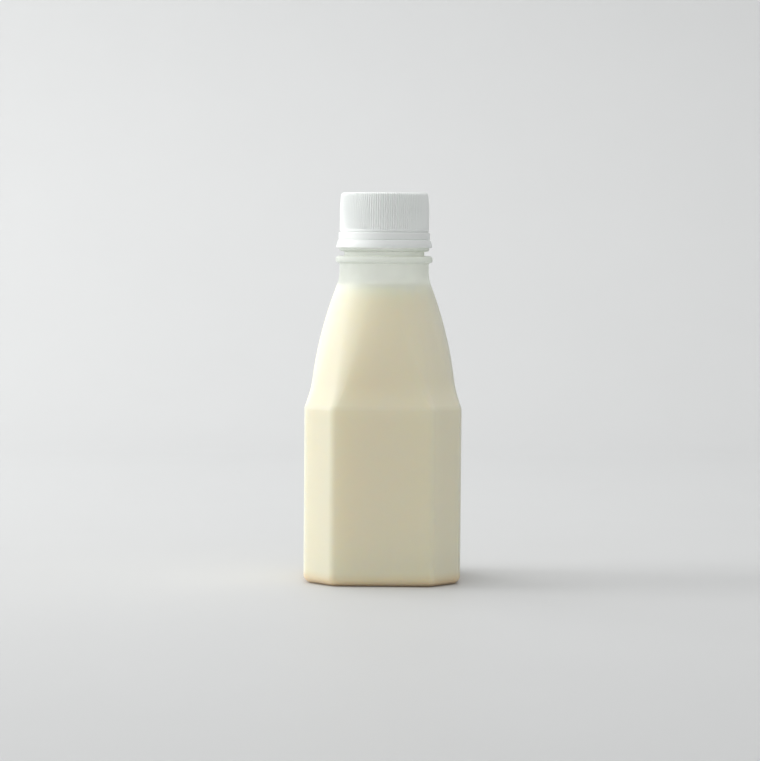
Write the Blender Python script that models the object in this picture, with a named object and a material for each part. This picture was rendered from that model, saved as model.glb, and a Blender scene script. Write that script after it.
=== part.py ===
"""A small shut bottle of soy milk: a translucent blow-moulded bottle, the drink that fills it to the
top of its shoulder, a ribbed screw cap, and the tamper band that stays under the cap.

Metres, +Z up. The origin is at the middle of the foot, on the surface that the bottle stands on.
"""

import collections
import math

import bmesh
import bpy

MM = 0.001
GAP = 0.35 * MM  # clearance between pieces that touch or nearly touch

# Body: a square with cut corners
BODY_WIDTH = 52.3 * MM
FACE_WIDTH = 33.4 * MM  # one wide face, between its sharp edges
EDGE_RADIUS = 3.4 * MM  # rounding of the upright edges
LEAST_EDGE_RADIUS = 0.8 * MM
HEEL_RADIUS = 3.0 * MM  # rounding between the walls and the foot
WALL = 0.9 * MM

# Foot: a flat ring round a shallow push-up
FOOT_WIDTH = 3.4 * MM
PUSH_UP = 1.8 * MM
FLOOR = 1.0 * MM  # thickness of the bottom

# Shoulder: a long arc from the ledge over the walls to the round neck
LEDGE_HEIGHT = 58.8 * MM  # where the upright walls end
LEDGE_RISE = 8.5 * MM  # height of the flare that leads out to the ledge
SHOULDER_LOW = (62.8 * MM, 24.4 * MM)  # height and half width at the foot of the arc
SHOULDER_HIGH = (101.6 * MM, 14.9 * MM)
SHOULDER_BULGE = 1.57 * MM  # how far the arc stands out from its chord
NECK_FILLET = 0.4 * MM  # width of the smooth change from the shoulder to the neck
ROUNDING_POWER = 1.8  # how soon the shoulder's section turns round: 1 would be evenly

# Neck: the part that shows, with its support ring and the bead below the tamper band
NECK_RADIUS = 15.05 * MM
NECK_LOW = 103.2 * MM
SUPPORT_RING_RADIUS = 16.35 * MM
SUPPORT_RING_LOW = 106.7 * MM
SUPPORT_RING_HIGH = 109.0 * MM
GROOVE_RADIUS = 13.5 * MM
BEAD_RADIUS = 15.2 * MM
BEAD_LOW = 110.6 * MM
BEAD_HIGH = 112.75 * MM
RIM_ROUND = 0.9 * MM  # rounding on the edges of the ring and the bead

# Finish: the threaded mouth inside the cap
FINISH_RADIUS = 12.6 * MM
MOUTH_RADIUS = 11.2 * MM
MOUTH_HEIGHT = 128.6 * MM
MOUTH_LIP = 0.4 * MM  # bevel round the top of the finish
NECK_WALL = 1.1 * MM

# Screw thread, on the finish and inside the cap
THREAD_PITCH = 3.18 * MM
THREAD_TURNS = 1.8
THREAD_START = 125.6 * MM  # height of the upper end of the bottle's thread
THREAD_DEPTH = 0.95 * MM
THREAD_ROOT = 1.5 * MM
THREAD_CREST = 0.7 * MM
THREAD_BURIED = 0.3 * MM  # how far a thread's root lies inside the wall that carries it
THREAD_FADE = math.radians(30)  # each end dies away over this angle
THREAD_STEPS = 24  # pieces in one turn

# Cap
CAP_LOW = 117.3 * MM
CAP_HIGH = 130.3 * MM
CAP_RADIUS = 15.05 * MM  # over the ribs
CAP_TOP_RADIUS = 14.7 * MM
CAP_DRAFT_HEIGHT = 5.6 * MM  # the wall narrows over this height below the top
CAP_EDGE = 1.0 * MM
CAP_BORE = 13.95 * MM
CAP_PLATE = 1.35 * MM  # thickness of the top
RIB_COUNT = 120
RIB_DEPTH = 0.4 * MM

# Tamper band: a short upright collar over a flared skirt
BAND_LOW = 111.85 * MM
BAND_HIGH = CAP_LOW - GAP
BAND_STEP = 114.4 * MM  # height of the fine step between collar and skirt
BAND_GROOVE = 0.2 * MM  # depth of the fine groove just over that step
BAND_COLLAR_RADIUS = 15.42 * MM
BAND_SKIRT_RADIUS = 15.62 * MM
BAND_FOOT_RADIUS = 16.28 * MM
BAND_BORE = 14.1 * MM

FILL_HEIGHT = 99.2 * MM  # level of the soy milk

POINTS_ROUND = 48  # points in one section, a multiple of eight
EIGHTH_TURN = math.radians(45)
EIGHTH_TURN_TANGENT = math.tan(EIGHTH_TURN / 2)
SIDE_SHARE = 0.5  # of a section's points lie on its sides, and the others on its rounded edges
SIDE_SPREAD = math.radians(5.5)  # how much further round the wide sides reach where a section is round

HALF_WIDTH = BODY_WIDTH / 2
Ring = collections.namedtuple("Ring", "height half_width half_face edge_radius roundness")


def clear_scene():
    for thing in list(bpy.data.objects):
        bpy.data.objects.remove(thing, do_unlink=True)


def outline_point(ring, turn):
    """One point of a ring. Each eighth of a turn is one side with half a rounded edge at either end."""
    side = round(turn / EIGHTH_TURN)
    along = turn / EIGHTH_TURN - side
    if side % 2 == 0:
        out, half_length = ring.half_width, ring.half_face
    else:
        out = (ring.half_width + ring.half_face) / math.sqrt(2)
        half_length = (ring.half_width - ring.half_face) / math.sqrt(2)
    past_side = max(2 * abs(along) - SIDE_SHARE, 0) / (1 - SIDE_SHARE)
    bend = past_side * EIGHTH_TURN / 2
    over = min(2 * abs(along) / SIDE_SHARE, 1) * (half_length - EIGHTH_TURN_TANGENT * ring.edge_radius)
    over = math.copysign(over + ring.edge_radius * math.sin(bend), along)
    out -= ring.edge_radius * (1 - math.cos(bend))
    normal = side * EIGHTH_TURN
    x = out * math.cos(normal) - over * math.sin(normal)
    y = out * math.sin(normal) + over * math.cos(normal)
    round_turn = turn + SIDE_SPREAD * math.sin(4 * turn)
    x += (ring.half_width * math.cos(round_turn) - x) * ring.roundness
    y += (ring.half_width * math.sin(round_turn) - y) * ring.roundness
    return (x, y, ring.height)


def section(ring):
    """Outline of a square with cut, rounded corners, brought towards a circle by the ring's roundness."""
    turns = [2 * math.pi * (step + 0.5) / POINTS_ROUND for step in range(POINTS_ROUND)]
    return [outline_point(ring, turn) for turn in turns]


def blended_ring(height, half_width, roundness):
    """A ring between the body's section, at roundness 0, and a circle, at roundness 1."""
    size = half_width / HALF_WIDTH
    return Ring(height, half_width, FACE_WIDTH / 2 * size, EDGE_RADIUS * size, roundness)


def round_ring(height, radius):
    return blended_ring(height, radius, 1)


def inset(ring, depth, lift=0.0):
    """The same ring moved inwards by depth on every side, and up by lift."""
    radius = max(ring.edge_radius - depth, LEAST_EDGE_RADIUS)
    face = ring.half_face - EIGHTH_TURN_TANGENT * depth
    return Ring(ring.height + lift, ring.half_width - depth, face, radius, ring.roundness)


def shoulder_half_width(height):
    """Half the bottle's width on the shoulder and the ledge, from one arc and two smooth ends."""
    low_height, low_width = SHOULDER_LOW
    high_height, high_width = SHOULDER_HIGH
    share = (height - low_height) / (high_height - low_height)
    chord = low_width + (high_width - low_width) * share
    arc = chord + 4 * SHOULDER_BULGE * share * (1 - share)
    apart = arc - NECK_RADIUS
    smooth = NECK_RADIUS + (apart + math.hypot(apart, NECK_FILLET)) / 2
    flare = min(max((LEDGE_HEIGHT + LEDGE_RISE - height) / LEDGE_RISE, 0), 1)
    return smooth + (HALF_WIDTH - smooth) * flare**2


def wall_ring(height):
    """The outside of the bottle at a height between the heel and the neck."""
    if height <= LEDGE_HEIGHT:
        return blended_ring(height, HALF_WIDTH, 0)
    left = max(SHOULDER_HIGH[0] - height, 0) / (SHOULDER_HIGH[0] - LEDGE_HEIGHT)
    return blended_ring(height, shoulder_half_width(height), 1 - left**ROUNDING_POWER)


def wall_heights():
    """Heights of the rings up the walls, close together on the ledge and under the neck."""
    ledge = [LEDGE_HEIGHT - 0.5 * MM, LEDGE_HEIGHT]
    ledge += [LEDGE_HEIGHT + LEDGE_RISE * share for share in (0.12, 0.35, 0.65, 1)]
    low, high = ledge[-1], SHOULDER_HIGH[0] - 4 * MM
    steps = 8
    shoulder = [low + (high - low) * step / steps for step in range(1, steps + 1)]
    fillet = [SHOULDER_HIGH[0] + offset * MM for offset in (-2.4, -1, 0.4)]
    return ledge + shoulder + fillet


def foot_rings(depth, lift):
    """Rings from the middle of the foot out to the top of the heel, inset by depth and raised by lift."""
    foot_edge = HALF_WIDTH - HEEL_RADIUS
    hollow_edge = foot_edge - FOOT_WIDTH
    rings = []
    for share in (0.45, 0.75, 1):
        rise = PUSH_UP * (1 - share**4) + lift
        rings.append(blended_ring(rise, hollow_edge * share, 1 - share**2))
    heel = HEEL_RADIUS - depth
    steps = 3
    for step in range(steps + 1):
        turn = math.radians(90 * step / steps)
        body = blended_ring(heel * (1 - math.cos(turn)), HALF_WIDTH, 0)
        rings.append(inset(body, depth + heel * (1 - math.sin(turn)), lift))
    return rings


def shell_rings(depth, lift, top):
    """One skin of the bottle from the middle of its foot up to the height top, inset by depth."""
    walls = [inset(wall_ring(height), depth) for height in wall_heights() if height < top]
    return foot_rings(depth, lift) + walls


def rounded_band(low, high, radius, root):
    """Rings up a collar that stands out from root to radius, with rounded edges."""
    rings = []
    for height, turn_sign in ((low, 1), (high, -1)):
        corner = []
        for angle in (0, 45, 90):
            turn = math.radians(angle)
            reach = radius - RIM_ROUND * (1 - math.sin(turn))
            rise = RIM_ROUND * (1 - math.cos(turn)) * turn_sign
            corner.append(round_ring(height + rise, reach))
        rings += corner[::turn_sign]
    return [round_ring(low, root)] + rings + [round_ring(high, root)]


def neck_outside():
    ring = rounded_band(SUPPORT_RING_LOW, SUPPORT_RING_HIGH, SUPPORT_RING_RADIUS, NECK_RADIUS)
    ring[-1] = round_ring(SUPPORT_RING_HIGH, GROOVE_RADIUS)
    bead = rounded_band(BEAD_LOW, BEAD_HIGH, BEAD_RADIUS, GROOVE_RADIUS)
    bead[-1] = round_ring(BEAD_HIGH, FINISH_RADIUS)
    finish = [
        round_ring(MOUTH_HEIGHT - MOUTH_LIP, FINISH_RADIUS),
        round_ring(MOUTH_HEIGHT, FINISH_RADIUS - MOUTH_LIP),
    ]
    return [round_ring(NECK_LOW, NECK_RADIUS)] + ring + bead + finish


def neck_inside():
    inner_neck = NECK_RADIUS - NECK_WALL
    return [
        round_ring(MOUTH_HEIGHT, MOUTH_RADIUS),
        round_ring(SUPPORT_RING_HIGH, MOUTH_RADIUS),
        round_ring(SUPPORT_RING_LOW, (MOUTH_RADIUS + inner_neck) / 2),
        round_ring(SUPPORT_RING_LOW - 1.6 * MM, inner_neck),
    ]


def bridge(mesh, first, second):
    """Joins two loops of vertices; one may hold a whole number of times as many points as the other."""
    if len(first) < len(second):
        first, second = second, first
    ratio = len(first) // len(second)
    for index, corner in enumerate(second):
        following = second[(index + 1) % len(second)]
        fan = [first[(index * ratio + step) % len(first)] for step in range(ratio + 1)]
        for left, right in zip(fan[:-2], fan[1:-1]):
            mesh.faces.new((corner, left, right))
        mesh.faces.new((corner, fan[-2], fan[-1], following))


def loft(name, outlines, closed=False):
    """A closed body through outlines of points, capped at both ends, or a ring of them if closed."""
    mesh = bmesh.new()
    loops = [[mesh.verts.new(point) for point in outline] for outline in outlines]
    for first, second in zip(loops, loops[1:]):
        bridge(mesh, first, second)
    if closed:
        bridge(mesh, loops[-1], loops[0])
    else:
        mesh.faces.new(loops[0])
        mesh.faces.new(loops[-1])
    bmesh.ops.recalc_face_normals(mesh, faces=mesh.faces)
    return add_object(name, mesh)


def add_object(name, mesh):
    data = bpy.data.meshes.new(name)
    mesh.to_mesh(data)
    mesh.free()
    data.shade_smooth()
    data.set_sharp_from_angle(angle=math.radians(35))
    thing = bpy.data.objects.new(name, data)
    bpy.context.scene.collection.objects.link(thing)
    return thing


def thread_ridge(name, wall_radius, outward, start_height):
    """A helical ridge on a round wall, standing out from it (outward 1) or in from it (outward -1)."""
    mesh = bmesh.new()
    root_radius = wall_radius - THREAD_BURIED * outward
    whole = 2 * math.pi * THREAD_TURNS
    steps = round(THREAD_STEPS * THREAD_TURNS)
    loops = []
    for step in range(steps + 1):
        turn = whole * step / steps
        fade = min(turn, whole - turn, THREAD_FADE) / THREAD_FADE
        crest_radius = root_radius + (THREAD_BURIED + THREAD_DEPTH) * outward * max(fade, 0.1)
        middle = start_height - THREAD_PITCH * turn / (2 * math.pi)
        profile = [
            (root_radius, middle - THREAD_ROOT / 2),
            (crest_radius, middle - THREAD_CREST / 2),
            (crest_radius, middle + THREAD_CREST / 2),
            (root_radius, middle + THREAD_ROOT / 2),
        ]
        loop = [mesh.verts.new((r * math.cos(turn), r * math.sin(turn), z)) for r, z in profile]
        loops.append(loop)
    for first, second in zip(loops, loops[1:]):
        bridge(mesh, first, second)
    mesh.faces.new(loops[0])
    mesh.faces.new(loops[-1])
    bmesh.ops.recalc_face_normals(mesh, faces=mesh.faces)
    ridge = add_object(name, mesh)
    ridge.hide_render = True
    ridge.display_type = "WIRE"
    return ridge


def weld_on(thing, ridge):
    """Makes ridge one body with thing."""
    union = thing.modifiers.new("thread", "BOOLEAN")
    union.operation = "UNION"
    union.solver = "EXACT"
    union.object = ridge


def plastic(name, colour, roughness, alpha=1.0):
    material = bpy.data.materials.new(name)
    material.use_nodes = True
    shader = material.node_tree.nodes["Principled BSDF"]
    shader.inputs["Base Color"].default_value = (*colour, 1)
    shader.inputs["Roughness"].default_value = roughness
    shader.inputs["Metallic"].default_value = 0
    shader.inputs["Alpha"].default_value = alpha
    return material


def make_bottle():
    """The blow-moulded bottle, lofted up its outside, over the lip of its mouth and down its inside."""
    outside = shell_rings(0, 0, NECK_LOW) + neck_outside()
    inside = shell_rings(WALL, FLOOR, NECK_LOW)
    rings = outside + neck_inside() + inside[::-1]
    bottle = loft("bottle", [section(ring) for ring in rings])
    weld_on(bottle, thread_ridge("bottle_thread", FINISH_RADIUS, 1, THREAD_START))
    bottle.data.materials.append(plastic("translucent_plastic", (0.86, 0.88, 0.80), 0.4, 0.5))
    return bottle


def make_soy_milk():
    """The drink, which fills the bottle up to the top of the shoulder."""
    depth = WALL + GAP
    rings = shell_rings(depth, FLOOR + GAP, FILL_HEIGHT - GAP)
    rings.append(inset(wall_ring(FILL_HEIGHT), depth))
    drink = loft("soy_milk", [section(ring) for ring in rings])
    drink.data.materials.append(plastic("soy_milk", (0.84, 0.77, 0.58), 0.35))
    return drink


def circle(radius, height, points=POINTS_ROUND):
    turns = [2 * math.pi * (step + 0.5) / points for step in range(points)]
    return [(radius * math.cos(turn), radius * math.sin(turn), height) for turn in turns]


def ribbed_circle(radius, depth, height):
    """A circle of ribs, each a crest at radius and a valley that is depth deeper."""
    points = 2 * RIB_COUNT
    outline = []
    for step in range(points):
        turn = 2 * math.pi * (step + 0.5) / points
        reach = radius - depth * (step % 2)
        outline.append((reach * math.cos(turn), reach * math.sin(turn), height))
    return outline


def make_cap():
    """The screw cap: a ribbed wall, a rounded top edge and a plain bore with a thread in it."""
    height = CAP_HIGH - CAP_LOW
    outlines = [circle(CAP_TOP_RADIUS - CAP_EDGE, height)]
    for angle in (30, 60, 90):
        turn = math.radians(angle)
        reach = CAP_TOP_RADIUS - CAP_EDGE * (1 - math.sin(turn))
        rise = height - CAP_EDGE * (1 - math.cos(turn))
        outlines.append(ribbed_circle(reach, RIB_DEPTH * math.sin(turn), rise))
    outlines.append(ribbed_circle(CAP_RADIUS, RIB_DEPTH, height - CAP_DRAFT_HEIGHT))
    outlines.append(ribbed_circle(CAP_RADIUS, RIB_DEPTH, 0))
    outlines.append(circle(CAP_BORE, 0))
    outlines.append(circle(CAP_BORE, height - CAP_PLATE))
    cap = loft("cap", outlines)
    cap.location.z = CAP_LOW
    start = THREAD_START - THREAD_PITCH / 2 - CAP_LOW
    ridge = thread_ridge("cap_thread", CAP_BORE, -1, start)
    ridge.location.z = CAP_LOW
    weld_on(cap, ridge)
    cap.data.materials.append(plastic("white_cap_plastic", (0.9, 0.92, 0.91), 0.35))
    return cap


def make_tamper_band():
    """The ring that stays on the neck once the cap is unscrewed. It clears the bead that it sits over."""
    height = BAND_HIGH - BAND_LOW
    step = BAND_STEP - BAND_LOW
    hollow_top = BEAD_HIGH + GAP - BAND_LOW
    fine = 0.15 * MM
    outlines = [
        circle(BAND_COLLAR_RADIUS - fine, height),
        circle(BAND_COLLAR_RADIUS, height - fine),
        circle(BAND_COLLAR_RADIUS, step + 3 * fine),
        circle(BAND_COLLAR_RADIUS - BAND_GROOVE, step + 2 * fine),
        circle(BAND_COLLAR_RADIUS - BAND_GROOVE, step + fine),
        circle(BAND_SKIRT_RADIUS, step),
        circle(BAND_FOOT_RADIUS, fine),
        circle(BAND_FOOT_RADIUS - fine, 0),
        circle(BEAD_RADIUS + GAP, 0),
        circle(BEAD_RADIUS + GAP, hollow_top),
        circle(BAND_BORE, hollow_top),
        circle(BAND_BORE, height),
    ]
    band = loft("tamper_band", outlines, closed=True)
    band.location.z = BAND_LOW
    band.data.materials.append(plastic("white_band_plastic", (0.9, 0.92, 0.91), 0.35))
    return band


def main():
    clear_scene()
    stand = bpy.data.objects.new("soy_milk_bottle", None)
    bpy.context.scene.collection.objects.link(stand)
    for piece in (make_bottle(), make_soy_milk(), make_cap(), make_tamper_band()):
        piece.parent = stand


main()
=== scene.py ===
"""The looks of a small shut bottle of soy milk: bottle, drink, cap and tamper band, then table and light.

Metres, +Z up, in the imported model's own frame. The bottle stands on the table at the origin.
"""

import collections
import math

import bmesh
import bpy
from mathutils import Matrix, Vector


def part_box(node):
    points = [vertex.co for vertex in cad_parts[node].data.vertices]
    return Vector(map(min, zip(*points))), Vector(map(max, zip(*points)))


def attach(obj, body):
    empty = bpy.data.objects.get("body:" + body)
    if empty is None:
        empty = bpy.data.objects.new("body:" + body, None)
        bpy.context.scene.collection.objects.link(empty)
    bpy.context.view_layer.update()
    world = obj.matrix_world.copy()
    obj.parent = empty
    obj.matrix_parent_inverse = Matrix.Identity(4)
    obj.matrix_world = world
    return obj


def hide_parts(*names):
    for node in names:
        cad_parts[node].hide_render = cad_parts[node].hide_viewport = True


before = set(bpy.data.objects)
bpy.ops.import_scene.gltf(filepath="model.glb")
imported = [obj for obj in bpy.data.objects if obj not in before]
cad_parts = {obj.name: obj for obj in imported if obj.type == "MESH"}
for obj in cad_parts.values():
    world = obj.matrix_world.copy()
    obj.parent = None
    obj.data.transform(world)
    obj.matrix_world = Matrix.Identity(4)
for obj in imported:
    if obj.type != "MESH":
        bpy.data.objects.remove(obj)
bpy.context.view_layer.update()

MM = 0.001


# The bottle. The real one is blow-moulded from milky polypropylene about a millimetre thick, square with
# cut corners below and drawn in to a round neck. Its two mould halves meet in a fine line that runs up
# the middle of both sides.

BODY_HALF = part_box("bottle")[1].x
MOUTH_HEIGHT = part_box("bottle")[1].z
FACE_WIDTH = 33.4 * MM  # of a wide side
EDGE_RADIUS = 3.4 * MM  # of the upright edges between sides
LEAST_EDGE_RADIUS = 0.8 * MM  # of those edges on the inside
HEEL_RADIUS = 3.0 * MM
FOOT_WIDTH = 3.4 * MM  # of the flat ring that the bottle stands on
PUSH_UP = 1.8 * MM  # how far the foot rises inside that ring
WALL = 0.9 * MM
FLOOR = 1.0 * MM
PARTING_WIDTH = 0.3 * MM
PARTING_PROUD = 0.05 * MM

LEDGE_HEIGHT = 58.8 * MM
LEDGE_RISE = 8.5 * MM
LEDGE_FLARE_POWER = 2  # how soon the ledge's flare dies out upwards
SHOULDER_LOW = (62.8 * MM, 24.4 * MM)  # height and half width at the foot of the shoulder's arc
SHOULDER_HIGH = (101.6 * MM, 14.9 * MM)
SHOULDER_BULGE = 1.57 * MM  # how far that arc stands out from its chord
SHOULDER_STEPS = 36
NECK_FILLET = 0.4 * MM  # softens the corner between shoulder and neck
ROUNDING_POWER = 1.8  # how soon the shoulder's section turns round

NECK_RADIUS = 15.05 * MM
NECK_LOW = 103.2 * MM
NECK_WALL = 1.1 * MM
SUPPORT_RING = (106.7 * MM, 109.0 * MM, 16.35 * MM)  # low, high and radius
BEAD = (110.6 * MM, 112.75 * MM, 15.2 * MM)
COLLAR_ROUND = 0.9 * MM  # rounding of the ring's and the bead's edges
COLLAR_CHAMFER = 0.3 * MM
GROOVE_RADIUS = 13.5 * MM
FINISH_RADIUS = 12.6 * MM
MOUTH_RADIUS = 11.2 * MM
MOUTH_LIP = 0.4 * MM
BORE_WIDENS = 1.6 * MM  # over this height below the support ring

BOTTLE_POINTS = 128  # round one section, a multiple of eight
EIGHTH_TURN = math.radians(45)
EIGHTH_TURN_TANGENT = math.tan(EIGHTH_TURN / 2)
SIDE_SHARE = 0.5  # of a section's points lie on its sides, and the others on its rounded edges
SIDE_SPREAD = math.radians(5.5)  # how much further round the wide sides reach where a section is round
SHARP_ANGLE = math.radians(40)
NO_DISTANCE = 1e-6  # metres, for places that should be the same
Section = collections.namedtuple("Section", "height half_width half_face edge_radius roundness")


def bottle_point(section, turn):
    """The place on a section at a turn from +X. Each eighth of a turn is one side with half a rounded edge at
    either end, and all of it is brought towards a circle by the section's roundness."""
    side = round(turn / EIGHTH_TURN)
    along = turn / EIGHTH_TURN - side
    if side % 2 == 0:
        out, half_length = section.half_width, section.half_face
    else:
        out = (section.half_width + section.half_face) / math.sqrt(2)
        half_length = (section.half_width - section.half_face) / math.sqrt(2)
    past_side = max(2 * abs(along) - SIDE_SHARE, 0) / (1 - SIDE_SHARE)
    bend = past_side * EIGHTH_TURN / 2
    over = min(2 * abs(along) / SIDE_SHARE, 1) * (half_length - EIGHTH_TURN_TANGENT * section.edge_radius)
    over = math.copysign(over + section.edge_radius * math.sin(bend), along)
    out -= section.edge_radius * (1 - math.cos(bend))
    flat = Matrix.Rotation(side * EIGHTH_TURN, 2) @ Vector((out, over))
    round_turn = turn + SIDE_SPREAD * math.sin(4 * turn)
    rounded = section.half_width * Vector((math.cos(round_turn), math.sin(round_turn)))
    return flat.lerp(rounded, section.roundness).to_3d() + Vector((0, 0, section.height))


def body_section(height, half_width, roundness):
    """Between a square with cut corners, at roundness 0, and a circle, at roundness 1."""
    size = half_width / BODY_HALF
    return Section(height, half_width, FACE_WIDTH / 2 * size, EDGE_RADIUS * size, roundness)


def round_section(height, radius):
    return body_section(height, radius, 1)


def inset(section, depth, lift=0.0):
    """The section of a wall's inner face, which lies a depth within the outer one."""
    radius = max(section.edge_radius - depth, LEAST_EDGE_RADIUS)
    face = section.half_face - EIGHTH_TURN_TANGENT * depth
    return Section(section.height + lift, section.half_width - depth, face, radius, section.roundness)


def shoulder_half_width(height):
    """An arc that meets the neck in a fillet, and flares out to the ledge at its foot."""
    share = (height - SHOULDER_LOW[0]) / (SHOULDER_HIGH[0] - SHOULDER_LOW[0])
    chord = SHOULDER_LOW[1] + (SHOULDER_HIGH[1] - SHOULDER_LOW[1]) * share
    apart = chord + 4 * SHOULDER_BULGE * share * (1 - share) - NECK_RADIUS
    smooth = NECK_RADIUS + (apart + math.hypot(apart, NECK_FILLET)) / 2
    flare = min(max((LEDGE_HEIGHT + LEDGE_RISE - height) / LEDGE_RISE, 0), 1)
    return smooth + (BODY_HALF - smooth) * flare**LEDGE_FLARE_POWER


def wall_section(height):
    """The bottle's outside at a height between the heel and the neck."""
    if height <= LEDGE_HEIGHT:
        return body_section(height, BODY_HALF, 0)
    left = max(SHOULDER_HIGH[0] - height, 0) / (SHOULDER_HIGH[0] - LEDGE_HEIGHT)
    return body_section(height, shoulder_half_width(height), 1 - left**ROUNDING_POWER)


def wall_sections(top):
    """Sections up the walls and the shoulder, below the height top."""
    heights = [LEDGE_HEIGHT * share for share in (0.2, 0.45, 0.7, 0.9, 0.985, 1)]
    rise = (NECK_LOW - LEDGE_HEIGHT) / SHOULDER_STEPS
    heights += [LEDGE_HEIGHT + rise * step for step in range(1, SHOULDER_STEPS)]
    return [wall_section(height) for height in heights if height < top]


def foot_sections(depth, lift):
    """From the middle of the foot out to the top of the heel. The foot's middle is pushed up as a round
    dome, which ends at the flat ring."""
    foot_edge = BODY_HALF - HEEL_RADIUS
    sections = []
    for share in (0.1, 0.3, 0.5, 0.65, 0.8, 0.9, 0.97, 1):
        rise = PUSH_UP * (1 - share**4) + lift
        sections.append(body_section(rise, (foot_edge - FOOT_WIDTH) * share, 1 - share**2))
    heel = HEEL_RADIUS - depth
    steps = 9
    for step in range(steps + 1):
        turn = math.radians(90 * step / steps)
        corner = body_section(heel * (1 - math.cos(turn)), BODY_HALF, 0)
        sections.append(inset(corner, depth + heel * (1 - math.sin(turn)), lift))
    return sections


def skin(depth, lift, top=NECK_LOW):
    """Foot, walls and shoulder, a depth within the outer face and with the floor lifted."""
    return foot_sections(depth, lift) + [inset(wall, depth) for wall in wall_sections(top)]


def collar(low, high, radius, rounding):
    """Up the outside of a ring with rounded edges."""
    steps = 5
    turns = [math.radians(90 * step / steps) for step in range(steps + 1)]
    reach = [(radius - rounding * (1 - math.sin(turn)), rounding * (1 - math.cos(turn))) for turn in turns]
    rising = [round_section(low + rise, out) for out, rise in reach]
    return rising + [round_section(high - rise, out) for out, rise in reversed(reach)]


def neck_outside():
    """Up the neck's outside, with its support ring and bead, and over the rim of the mouth."""
    ring_low, ring_high, ring_radius = SUPPORT_RING
    bead_low, bead_high, bead_radius = BEAD
    return [
        round_section(NECK_LOW, NECK_RADIUS),
        round_section(ring_low - COLLAR_CHAMFER, NECK_RADIUS),
        round_section(ring_low, NECK_RADIUS + COLLAR_CHAMFER),
        *collar(ring_low, ring_high, ring_radius, COLLAR_ROUND),
        round_section(ring_high, GROOVE_RADIUS + COLLAR_CHAMFER),
        round_section(ring_high + COLLAR_CHAMFER, GROOVE_RADIUS),
        round_section(bead_low, GROOVE_RADIUS),
        *collar(bead_low, bead_high, bead_radius, COLLAR_ROUND),
        round_section(bead_high, FINISH_RADIUS),
        round_section(MOUTH_HEIGHT - MOUTH_LIP, FINISH_RADIUS),
        round_section(MOUTH_HEIGHT, FINISH_RADIUS - MOUTH_LIP),
        round_section(MOUTH_HEIGHT, MOUTH_RADIUS + MOUTH_LIP),
        round_section(MOUTH_HEIGHT - MOUTH_LIP, MOUTH_RADIUS),
    ]


def neck_inside():
    """Down the bore of the mouth, which widens to the neck below the support ring."""
    ring_low, ring_high, ring_radius = SUPPORT_RING
    inner_neck = NECK_RADIUS - NECK_WALL
    return [
        round_section(ring_high, MOUTH_RADIUS),
        round_section(ring_low, (MOUTH_RADIUS + inner_neck) / 2),
        round_section(ring_low - BORE_WIDENS, inner_neck),
    ]


def loft(sections, point, points, outer_sections=None):
    """A closed skin: a circle that is extruded for each section and reshaped to it by point. Faces past the
    outer sections are the inside of a wall, and take the second material."""
    mesh = bmesh.new()
    turn = mesh.verts.layers.float.new("turn")
    made = bmesh.ops.create_circle(mesh, cap_ends=True, segments=points, radius=1)
    for vert in made["verts"]:
        vert[turn] = math.atan2(vert.co.y, vert.co.x) + math.pi / points
        vert.co = point(sections[0], vert[turn])
    edges = list(mesh.edges)
    for number, section in enumerate(sections[1:], 1):
        made = bmesh.ops.extrude_edge_only(mesh, edges=edges)["geom"]
        edges = [part for part in made if isinstance(part, bmesh.types.BMEdge) and part.is_boundary]
        for vert in (part for part in made if isinstance(part, bmesh.types.BMVert)):
            vert.co = point(section, vert[turn])
        if outer_sections and number >= outer_sections:
            for face in (part for part in made if isinstance(part, bmesh.types.BMFace)):
                face.material_index = 1
    bmesh.ops.holes_fill(mesh, edges=edges, sides=0)
    bmesh.ops.recalc_face_normals(mesh, faces=mesh.faces)
    return mesh


def add_piece(name, mesh, materials, node_name):
    """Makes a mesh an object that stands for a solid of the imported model, and rides with it."""
    data = bpy.data.meshes.new(name)
    for face in mesh.faces:
        face.smooth = True
    mesh.to_mesh(data)
    mesh.free()
    data.set_sharp_from_angle(angle=SHARP_ANGLE)
    for material in materials:
        data.materials.append(material)
    piece = bpy.data.objects.new(name, data)
    bpy.context.scene.collection.objects.link(piece)
    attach(piece, "root")
    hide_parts(node_name)


def raise_parting_line(mesh):
    """Cuts a fine strip round the mesh where y is 0, and lifts its middle out of the skin above the foot."""
    for y in (-PARTING_WIDTH / 2, 0, PARTING_WIDTH / 2):
        everything = [*mesh.verts, *mesh.edges, *mesh.faces]
        bmesh.ops.bisect_plane(
            mesh, geom=everything, dist=NO_DISTANCE, plane_co=(0, y, 0), plane_no=(0, 1, 0)
        )
    mesh.normal_update()
    for vert in mesh.verts:
        on_line = abs(vert.co.y) < NO_DISTANCE and HEEL_RADIUS / 2 < vert.co.z < NECK_LOW
        if on_line and vert.normal.x * vert.co.x > 0 and abs(vert.co.x) > NECK_RADIUS:
            vert.co += vert.normal * PARTING_PROUD


def linear(hex_colour):
    """A colour written as sRGB hex, as the linear values that shaders take."""
    parts = [int(hex_colour[start : start + 2], 16) / 255 for start in (1, 3, 5)]
    return (*[c / 12.92 if c < 0.04045 else ((c + 0.055) / 1.055) ** 2.4 for c in parts], 1)


def add_node(tree, kind, inputs, **settings):
    """Adds a shader node, sets its settings, and fills its inputs with values or with links."""
    node = tree.nodes.new("ShaderNode" + kind)
    for name, value in settings.items():
        setattr(node, name, value)
    for name, value in inputs.items():
        if isinstance(value, bpy.types.NodeSocket):
            tree.links.new(value, node.inputs[name])
        else:
            node.inputs[name].default_value = value
    return node


def new_material(name):
    """An empty material, its tree, and the Object coordinates that its patterns follow."""
    material = bpy.data.materials.new(name)
    material.use_nodes = True
    tree = material.node_tree
    tree.nodes.clear()
    return material, tree, add_node(tree, "TexCoord", {}).outputs["Object"]


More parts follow.
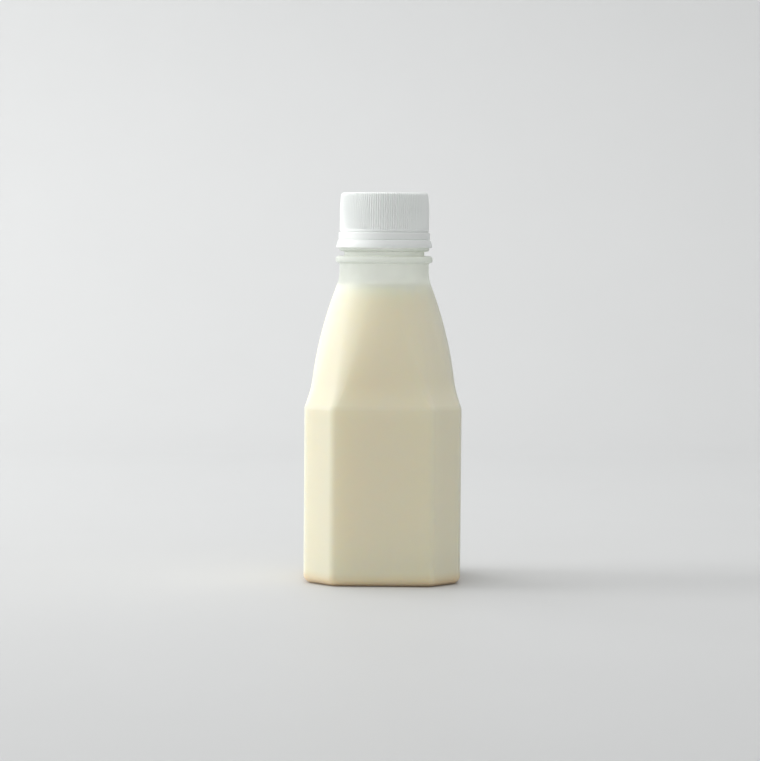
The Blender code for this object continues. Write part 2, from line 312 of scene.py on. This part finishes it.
WALL_HIDES = 0.30  # share of what lies behind it that the wall hides, seen head on
NECK_HIDES = 0.24  # below 0.23 a denoised render shows a line where the film gets clearer than that
FOOT_HIDES = 0.24
PASSES_ON = 0.5  # share of the scattered light that goes on inwards
GLOSS_HEAD_ON = 0.035  # share of light that the skin mirrors
GLOSS_ASLANT = 0.35
GLOSS_POWER = 5.0  # how late the gloss rises, as in Fresnel's law
CLEARS_UP_NECK = (97 * MM, 102 * MM)  # between these heights the wall gets clearer
# over these heights the wall gets clearer and its colour is painted warm: a painted glow at the foot
CLEARER_WITH_PAINTED_GLOW_TO_FOOT = (5 * MM, 0.5 * MM)


def blow_moulded_polypropylene():
    """Milky plastic with a satin skin. It looks whiter aslant, where one sees through more of it, and towards
    the foot it is clearer and painted warm, a painted glow of light carried down through the drink. The blown
    wall keeps slow waves of 14 mm, and the blasted mould's grain is drawn as coarse as 0.25 mm, so that it
    softens the gloss."""
    material, tree, place = new_material("blow_moulded_polypropylene")
    height = add_node(tree, "SeparateXYZ", {"Vector": place}).outputs["Z"]
    up_neck = add_node(tree, "MapRange", {
        "Value": height,
        "From Min": CLEARS_UP_NECK[0],
        "From Max": CLEARS_UP_NECK[1],
        "To Min": WALL_HIDES,
        "To Max": NECK_HIDES,
    }, interpolation_type="SMOOTHSTEP").outputs["Result"]
    to_foot = add_node(tree, "MapRange", {
        "Value": height, "From Min": CLEARER_WITH_PAINTED_GLOW_TO_FOOT[0], "From Max": CLEARER_WITH_PAINTED_GLOW_TO_FOOT[1], "To Min": 0, "To Max": 1,
    }, interpolation_type="SMOOTHSTEP").outputs["Result"]
    head_on = add_node(tree, "Mix", {0: to_foot, 2: up_neck, 3: FOOT_HIDES}).outputs[0]
    # painted glow: the film's own tint is painted warm towards the foot
    film_tint_and_painted_foot_glow = add_node(tree, "Mix", {0: to_foot, 6: linear("#F9FDF8"), 7: linear("#FBEAD0")}, data_type="RGBA")
    uneven = add_node(tree, "TexNoise", {"Vector": place, "Scale": 1 / (1.2 * MM)}).outputs["Fac"]
    satin = add_node(tree, "MapRange", {
        "Value": uneven, "From Min": 0.3, "From Max": 0.7, "To Min": 0.5, "To Max": 0.58,
    }).outputs["Result"]
    drawn = add_node(tree, "TexNoise", {
        "Vector": place, "Scale": 1 / (14 * MM), "Detail": 1.0,
    }).outputs["Fac"]
    waves = add_node(tree, "Bump", {"Strength": 0.5, "Distance": 0.04 * MM, "Height": drawn}).outputs[0]
    grain = add_node(tree, "TexNoise", {
        "Vector": place, "Scale": 1 / (0.25 * MM), "Detail": 3.0,
    }).outputs["Fac"]
    skin_normal = add_node(tree, "Bump", {
        "Strength": 0.2, "Distance": 0.01 * MM, "Height": grain, "Normal": waves,
    }).outputs[0]
    aslant = add_node(tree, "LayerWeight", {"Blend": 0.5, "Normal": skin_normal}).outputs["Facing"]
    hides = add_node(tree, "MapRange", {"Value": aslant, "To Min": head_on, "To Max": 1}).outputs["Result"]
    steep = add_node(tree, "Math", {0: aslant, 1: GLOSS_POWER}, operation="POWER").outputs[0]
    mirrors = add_node(tree, "MapRange", {
        "Value": steep, "To Min": GLOSS_HEAD_ON, "To Max": GLOSS_ASLANT,
    }).outputs["Result"]
    sends_back = add_node(tree, "BsdfDiffuse", {"Color": film_tint_and_painted_foot_glow.outputs[2], "Normal": skin_normal})
    sends_on = add_node(tree, "BsdfTranslucent", {"Color": film_tint_and_painted_foot_glow.outputs[2], "Normal": skin_normal})
    milky = add_node(tree, "MixShader", {0: PASSES_ON, 1: sends_back.outputs[0], 2: sends_on.outputs[0]})
    clear = add_node(tree, "BsdfTransparent", {"Color": linear("#FDFEFA")})
    film = add_node(tree, "MixShader", {0: hides, 1: clear.outputs[0], 2: milky.outputs[0]})
    gloss = add_node(tree, "BsdfAnisotropic", {"Roughness": satin, "Normal": skin_normal})
    wall = add_node(tree, "MixShader", {0: mirrors, 1: film.outputs[0], 2: gloss.outputs[0]})
    add_node(tree, "OutputMaterial", {"Surface": wall.outputs[0]})
    return material


def bare_inner_face():
    """The inside of the wall, where the plastic only ends: its milkiness shows on the outside."""
    material, tree, place = new_material("bare_inner_face")
    ripple = add_node(tree, "TexNoise", {"Vector": place, "Scale": 1 / (2 * MM)}).outputs["Fac"]
    faint = add_node(tree, "MapRange", {
        "Value": ripple, "From Min": 0.3, "From Max": 0.7, "To Min": 0.05, "To Max": 0.07,
    }).outputs["Result"]
    shader = add_node(tree, "BsdfPrincipled", {
        "Base Color": linear("#FCFDF2"),
        "Roughness": 0.3,
        "IOR": 1.49,
        "Alpha": faint,
    })
    add_node(tree, "OutputMaterial", {"Surface": shader.outputs[0]})
    return material


bottle_outside = skin(0, 0) + neck_outside()
bottle_inside = neck_inside() + skin(WALL, FLOOR)[::-1]
bottle_mesh = loft(bottle_outside + bottle_inside, bottle_point, BOTTLE_POINTS, len(bottle_outside))
raise_parting_line(bottle_mesh)
bottle_materials = [blow_moulded_polypropylene(), bare_inner_face()]
add_piece("bottle_shell", bottle_mesh, bottle_materials, "bottle")


# The soy milk. The real drink wets the whole inner wall and climbs it by half a millimetre at its level,
# which stands at the top of the shoulder. It is opaque and cream, from fine drops of oil and bean.

FILL_HEIGHT = 99.2 * MM
INTO_WALL = 0.7 * MM  # the piece reaches past the wall's inner face, so that no gap shows
MENISCUS = ((0, 0.5), (0.15, 0.45), (0.5, 0.25), (1.0, 0.1), (1.8, 0.03), (3, 0), (8, 0))  # mm in, mm up
LAST_WALL_BELOW = 0.3 * MM  # how far below the level the wall's last section may lie


def soy_milk_sections():
    """The wetted inner wall up to the level, then in over the meniscus to the middle of the surface."""
    depth = WALL - INTO_WALL
    sections = skin(depth, FLOOR - INTO_WALL, FILL_HEIGHT - LAST_WALL_BELOW)
    at_level = wall_section(FILL_HEIGHT)
    for inwards, climb in MENISCUS:
        sections.append(inset(at_level, depth + inwards * MM, climb * MM))
    return sections


CREEP = 14 * MM  # how far light creeps in the drink
CREEP_AT_FOOT = 1.5 * MM
PAINTED_GLOW_AND_SHORT_CREEP_TO_FOOT = (9 * MM, 1 * MM)  # between these heights the drink is painted warmer, a painted glow, and light creeps less far in it
PAINTED_LIGHT_BELOW_LEVEL = 6 * MM  # over this height below the level the drink is painted whiter, painted light
PAINTED_LIGHT_BELOW_LEVEL_POWER = 2.0


def soy_milk_liquid():
    """Fat and fine solids scatter the light, so edges are soft. Just under its level the drink is painted
    whiter, painted light from the clearer neck above, and towards the foot it is painted warmer, a painted
    glow of light carried down through the drink, where light also creeps less far."""
    material, tree, place = new_material("soy_milk_liquid")
    settled = add_node(tree, "TexNoise", {
        "Vector": place, "Scale": 1 / (25 * MM), "Detail": 1.0,
    }).outputs["Fac"]
    tone = add_node(tree, "Mix", {0: settled, 6: linear("#F7EAD2"), 7: linear("#F8EBD4")}, data_type="RGBA")
    height = add_node(tree, "SeparateXYZ", {"Vector": place}).outputs["Z"]
    to_foot = add_node(tree, "MapRange", {
        "Value": height, "From Min": PAINTED_GLOW_AND_SHORT_CREEP_TO_FOOT[0], "From Max": PAINTED_GLOW_AND_SHORT_CREEP_TO_FOOT[1], "To Min": 0, "To Max": 1,
    }, interpolation_type="SMOOTHSTEP").outputs["Result"]
    creep = add_node(tree, "Mix", {0: to_foot, 2: CREEP, 3: CREEP_AT_FOOT}).outputs[0]
    # painted glow: the drink's colour is painted warmer towards the foot
    tone = add_node(tree, "Mix", {0: to_foot, 6: tone.outputs[2], 7: linear("#FFEDD3")}, data_type="RGBA")
    to_level = add_node(tree, "MapRange", {
        "Value": height,
        "From Min": FILL_HEIGHT - PAINTED_LIGHT_BELOW_LEVEL,
        "From Max": FILL_HEIGHT,
        "To Min": 0,
        "To Max": 1,
    }).outputs["Result"]
    painted_level_light = add_node(tree, "Math", {0: to_level, 1: PAINTED_LIGHT_BELOW_LEVEL_POWER}, operation="POWER").outputs[0]
    # painted light: the drink's colour is painted whiter just under its level
    tone = add_node(tree, "Mix", {0: painted_level_light, 6: tone.outputs[2], 7: linear("#FFF9E8")}, data_type="RGBA")
    shader = add_node(tree, "BsdfPrincipled", {
        "Base Color": tone.outputs[2],
        "Roughness": 0.35,
        "IOR": 1.45,
        "Specular IOR Level": 0.1,
        "Subsurface Weight": 1.0,
        "Subsurface Radius": (1.0, 0.85, 0.6),
        "Subsurface Scale": creep,
    })
    add_node(tree, "OutputMaterial", {"Surface": shader.outputs[0]})
    return material


soy_milk_mesh = loft(soy_milk_sections(), bottle_point, BOTTLE_POINTS)
add_piece("soy_milk_fill", soy_milk_mesh, [soy_milk_liquid()], "soy_milk")


# The cap. The real one is injection-moulded from white polyethylene, with a fine rib for each three
# degrees for the grip, a rounded top edge and a plain lip where it was cut from the band. A small
# dimple in its top is where the plastic ran in.

CAP_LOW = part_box("cap")[0].z
CAP_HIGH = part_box("cap")[1].z
CAP_RADIUS = 15.05 * MM
CAP_TOP_RADIUS = 14.7 * MM
CAP_DRAFT_HEIGHT = 5.6 * MM  # over which the cap widens downwards
CAP_EDGE = 1.0 * MM  # rounding of the top edge
CAP_BORE = 13.95 * MM
CAP_PLATE = 1.35 * MM  # thickness of the top
CAP_LIP = 0.7 * MM  # height of the plain strip below the ribs
LIP_ROUND = 0.15 * MM
DIMPLE_RADIUS = 1.1 * MM
DIMPLE_DEPTH = 0.25 * MM
RIB_COUNT = 120
RIB_DEPTH = 0.4 * MM
RIB_RUN_OUT = 0.25 * MM  # height in which the ribs end above the plain strip
RIBS_BEGIN = 0.3  # of the way over the top edge
POINTS_A_RIB = 6
Turned = collections.namedtuple("Turned", "radius height rib_depth")


def cap_point(level, turn):
    """A place on a turned outline whose ribs are rounded crests with narrow valleys between them."""
    wave = (1 - math.cos(RIB_COUNT * turn)) / 2
    reach = level.radius - level.rib_depth * wave**2
    return Vector((reach * math.cos(turn), reach * math.sin(turn), level.height))


def cap_levels():
    """From the dimple in the middle of the top, over the edge, down the ribs and up inside."""
    halfway = 6 * MM
    levels = [
        Turned(DIMPLE_RADIUS * 0.5, CAP_HIGH - DIMPLE_DEPTH, 0),
        Turned(DIMPLE_RADIUS * 0.85, CAP_HIGH - DIMPLE_DEPTH * 0.8, 0),
        Turned(DIMPLE_RADIUS, CAP_HIGH, 0),
        Turned(halfway, CAP_HIGH, 0),
        Turned(CAP_TOP_RADIUS - CAP_EDGE, CAP_HIGH, 0),
    ]
    steps = 7
    for step in range(1, steps + 1):
        turn = math.radians(90 * step / steps)
        reach = CAP_TOP_RADIUS - CAP_EDGE * (1 - math.sin(turn))
        drop = CAP_EDGE * (1 - math.cos(turn))
        grown = max(math.sin(turn) - RIBS_BEGIN, 0) / (1 - RIBS_BEGIN)
        levels.append(Turned(reach, CAP_HIGH - drop, RIB_DEPTH * grown))
    for share in (0.35, 0.7, 1):
        radius = CAP_TOP_RADIUS + (CAP_RADIUS - CAP_TOP_RADIUS) * share
        levels.append(Turned(radius, CAP_HIGH - CAP_DRAFT_HEIGHT * share, RIB_DEPTH))
    inside_middle = 2 * MM
    return levels + [
        Turned(CAP_RADIUS, CAP_LOW + CAP_LIP + RIB_RUN_OUT, RIB_DEPTH),
        Turned(CAP_RADIUS, CAP_LOW + CAP_LIP, 0),
        Turned(CAP_RADIUS, CAP_LOW + LIP_ROUND, 0),
        Turned(CAP_RADIUS - LIP_ROUND, CAP_LOW, 0),
        Turned(CAP_BORE, CAP_LOW, 0),
        Turned(CAP_BORE, CAP_HIGH - CAP_PLATE, 0),
        Turned(inside_middle, CAP_HIGH - CAP_PLATE, 0),
    ]


def moulded_white_polyethylene():
    """White plastic with a satin skin, and light that creeps a little way into it. The mould's fine grain is
    drawn as coarse as 0.2 mm, so that it softens the gloss."""
    material, tree, place = new_material("moulded_white_polyethylene")
    uneven = add_node(tree, "TexNoise", {"Vector": place, "Scale": 1 / (0.8 * MM)}).outputs["Fac"]
    satin = add_node(tree, "MapRange", {
        "Value": uneven, "From Min": 0.3, "From Max": 0.7, "To Min": 0.38, "To Max": 0.46,
    }).outputs["Result"]
    grain = add_node(tree, "TexNoise", {
        "Vector": place, "Scale": 1 / (0.2 * MM), "Detail": 3.0,
    }).outputs["Fac"]
    skin_normal = add_node(tree, "Bump", {"Strength": 0.2, "Distance": 0.01 * MM, "Height": grain}).outputs[0]
    shader = add_node(tree, "BsdfPrincipled", {
        "Base Color": linear("#F1F4F2"),
        "Roughness": satin,
        "IOR": 1.5,
        "Specular IOR Level": 0.35,
        "Subsurface Weight": 0.6,
        "Subsurface Radius": (1.0, 1.0, 1.0),
        "Subsurface Scale": 0.3 * MM,
        "Normal": skin_normal,
    })
    add_node(tree, "OutputMaterial", {"Surface": shader.outputs[0]})
    return material


cap_plastic = moulded_white_polyethylene()
cap_mesh = loft(cap_levels(), cap_point, RIB_COUNT * POINTS_A_RIB)
add_piece("screw_cap", cap_mesh, [cap_plastic], "cap")


# The tamper band. The real one is moulded in one shot with the cap and cut nearly free of it, so that
# only a thin web is left, which tears when the cap is first turned. It snaps over the neck's bead and
# flares below.

BAND_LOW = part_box("tamper_band")[0].z
BAND_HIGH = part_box("tamper_band")[1].z
BAND_STEP = 114.4 * MM
BAND_GROOVE = 0.2 * MM  # depth of the fine groove over the step
BAND_COLLAR_RADIUS = 15.42 * MM
BAND_SKIRT_RADIUS = 15.62 * MM
BAND_FOOT_RADIUS = 16.28 * MM
BAND_BORE = 14.1 * MM
BAND_CLEARANCE = 0.35 * MM  # round the neck's bead
BAND_EDGE = 0.15 * MM  # size of the small chamfers and of the groove's lips
BAND_STEP_LIP = 0.03 * MM
BAND_POINTS = 240
CUT_DEPTH = 0.2 * MM  # of the knife's groove below the cap


def spin_outline(corners, steps):
    """Spins a closed outline of (radius, height) corners into a ring round the Z axis."""
    mesh = bmesh.new()
    verts = [mesh.verts.new((radius, 0, height)) for radius, height in corners]
    edges = [mesh.edges.new((first, second)) for first, second in zip(verts, verts[1:] + verts[:1])]
    bmesh.ops.spin(
        mesh,
        geom=[*verts, *edges],
        cent=(0, 0, 0),
        axis=(0, 0, 1),
        angle=math.tau,
        steps=steps,
        use_merge=True,
    )
    bmesh.ops.remove_doubles(mesh, verts=mesh.verts, dist=NO_DISTANCE)
    bmesh.ops.recalc_face_normals(mesh, faces=mesh.faces)
    return mesh


def band_corners():
    """From the web below the cap, down the collar, the groove, the step and the skirt, and up inside."""
    hollow_top = BEAD[1] + BAND_CLEARANCE
    hollow = BEAD[2] + BAND_CLEARANCE
    web = CAP_RADIUS - CUT_DEPTH
    return [
        (web, CAP_LOW),
        (web, BAND_HIGH),
        (BAND_COLLAR_RADIUS - BAND_EDGE, BAND_HIGH),
        (BAND_COLLAR_RADIUS, BAND_HIGH - BAND_EDGE),
        (BAND_COLLAR_RADIUS, BAND_STEP + BAND_EDGE * 3),
        (BAND_COLLAR_RADIUS - BAND_GROOVE, BAND_STEP + BAND_EDGE * 2),
        (BAND_COLLAR_RADIUS - BAND_GROOVE, BAND_STEP + BAND_EDGE),
        (BAND_SKIRT_RADIUS - BAND_STEP_LIP, BAND_STEP),
        (BAND_SKIRT_RADIUS, BAND_STEP - BAND_EDGE * 0.5),
        (BAND_FOOT_RADIUS, BAND_LOW + BAND_EDGE * 1.5),
        (BAND_FOOT_RADIUS - BAND_EDGE * 0.3, BAND_LOW + BAND_EDGE * 0.4),
        (BAND_FOOT_RADIUS - BAND_EDGE * 1.2, BAND_LOW),
        (hollow, BAND_LOW),
        (hollow, hollow_top),
        (BAND_BORE, hollow_top),
        (BAND_BORE, CAP_LOW),
    ]


band_mesh = spin_outline(band_corners(), BAND_POINTS)
add_piece("tamper_ring", band_mesh, [cap_plastic], "tamper_band")


# The table and the wall behind it. A pale sheet with a faint gloss lies flat under the bottle and curves
# up behind it.

TABLE_FRONT = -1.2
TABLE_HALF_WIDTH = 1.6
BEND_START = 0.5
BEND_RADIUS = 0.35
BEND_STEPS = 40
WALL_TOP = 1.2


def backdrop_mesh():
    """The table's front edge, extruded back, spun up through the bend and extruded to the wall's top."""
    mesh = bmesh.new()
    left = mesh.verts.new((-TABLE_HALF_WIDTH, TABLE_FRONT, 0))
    right = mesh.verts.new((TABLE_HALF_WIDTH, TABLE_FRONT, 0))
    edge = [mesh.edges.new((left, right))]
    made = bmesh.ops.extrude_edge_only(mesh, edges=edge)["geom"]
    ends = [part for part in made if isinstance(part, bmesh.types.BMVert)]
    for vert in ends:
        vert.co.y = BEND_START
    made_edges = [part for part in made if isinstance(part, bmesh.types.BMEdge)]
    back_edge = [part for part in made_edges if set(part.verts) == set(ends)]
    made = bmesh.ops.spin(
        mesh,
        geom=[*ends, *back_edge],
        cent=(0, BEND_START, BEND_RADIUS),
        axis=(1, 0, 0),
        angle=math.radians(90),
        steps=BEND_STEPS,
    )
    last = [part for part in made["geom_last"] if isinstance(part, bmesh.types.BMEdge)]
    made = bmesh.ops.extrude_edge_only(mesh, edges=last)["geom"]
    for vert in (part for part in made if isinstance(part, bmesh.types.BMVert)):
        vert.co.z = WALL_TOP
    bmesh.ops.remove_doubles(mesh, verts=mesh.verts, dist=NO_DISTANCE)
    bmesh.ops.recalc_face_normals(mesh, faces=mesh.faces)
    if next(iter(mesh.faces)).normal.z < 0:
        bmesh.ops.reverse_faces(mesh, faces=mesh.faces)
    return mesh


def pale_laminate():
    """A smooth sheet with a faint gloss, in which the bottle's foot is mirrored softly."""
    material, tree, place = new_material("pale_laminate")
    patch = add_node(tree, "TexNoise", {"Vector": place, "Scale": 1 / (60 * MM)}).outputs["Fac"]
    tone = add_node(tree, "Mix", {0: patch, 6: linear("#CACBCB"), 7: linear("#CCCDCD")}, data_type="RGBA")
    shader = add_node(tree, "BsdfPrincipled", {
        "Base Color": tone.outputs[2],
        "Roughness": 0.55,
        "IOR": 1.45,
        "Specular IOR Level": 0.2,
    })
    add_node(tree, "OutputMaterial", {"Surface": shader.outputs[0]})
    return material


backdrop_data = bpy.data.meshes.new("table_and_wall")
table_mesh = backdrop_mesh()
for face in table_mesh.faces:
    face.smooth = True
table_mesh.to_mesh(backdrop_data)
table_mesh.free()
backdrop_data.materials.append(pale_laminate())
backdrop = bpy.data.objects.new("table_and_wall", backdrop_data)
bpy.context.scene.collection.objects.link(backdrop)


# The light. A wide window on the left is two soft lamps, one low and one high and further back. A third
# hangs over the table, and the pale room fills the rest, mostly from the front.

Lamp = collections.namedtuple("Lamp", "name place size watts")
LAMPS = (
    Lamp("window_low", (-1.1, 0, 0.4), 0.5, 7.3),
    Lamp("window_high", (-0.72, 0.45, 0.85), 0.8, 3.5),
    Lamp("ceiling", (0, 0.1, 1.3), 1.0, 8.2),
)
LAMP_AIM = Vector((0, 0, 0.06))
ROOM_FRONT = 0.67
ROOM_BACK = 0.06

for lamp in LAMPS:
    lamp_data = bpy.data.lights.new(lamp.name, "AREA")
    lamp_data.shape = "SQUARE"
    lamp_data.size = lamp.size
    lamp_data.energy = lamp.watts
    lamp_object = bpy.data.objects.new(lamp.name, lamp_data)
    lamp_object.location = lamp.place
    lamp_object.rotation_euler = (LAMP_AIM - lamp_object.location).to_track_quat("-Z", "Y").to_euler()
    bpy.context.scene.collection.objects.link(lamp_object)

room = bpy.data.worlds.new("pale_room")
room.use_nodes = True
room_tree = room.node_tree
room_tree.nodes.clear()
direction = add_node(room_tree, "TexCoord", {}).outputs["Generated"]
depth = add_node(room_tree, "SeparateXYZ", {"Vector": direction}).outputs["Y"]
strength = add_node(room_tree, "MapRange", {
    "Value": depth, "From Min": -0.5, "From Max": 0.5, "To Min": ROOM_FRONT, "To Max": ROOM_BACK,
}).outputs["Result"]
pale_room = add_node(room_tree, "Background", {"Color": linear("#F8F8F8"), "Strength": strength})
add_node(room_tree, "OutputWorld", {"Surface": pale_room.outputs[0]})
bpy.context.scene.world = room
bpy.context.scene.view_settings.view_transform = "Standard"


# The camera. It looks straight at one wide face, from a little below the cap's top.

CAMERA_DISTANCE = 0.9
CAMERA_HEIGHT = 0.119
CAMERA_DROP = math.radians(3.312)
CAMERA_ROLL = math.radians(0.45)
CAMERA_LEFT = math.radians(0.07)
LENS = 125.98  # millimetres, as the sensor
SENSOR = 36

camera_data = bpy.data.cameras.new("camera")
camera_data.lens = LENS
camera_data.sensor_width = SENSOR
camera = bpy.data.objects.new("camera", camera_data)
aim = Matrix.Rotation(CAMERA_LEFT, 4, "Z") @ Matrix.Rotation(math.pi / 2 - CAMERA_DROP, 4, "X")
camera.matrix_world = (
    Matrix.Translation((0, -CAMERA_DISTANCE, CAMERA_HEIGHT)) @ aim @ Matrix.Rotation(CAMERA_ROLL, 4, "Z")
)
bpy.context.scene.collection.objects.link(camera)
bpy.context.scene.camera = camera
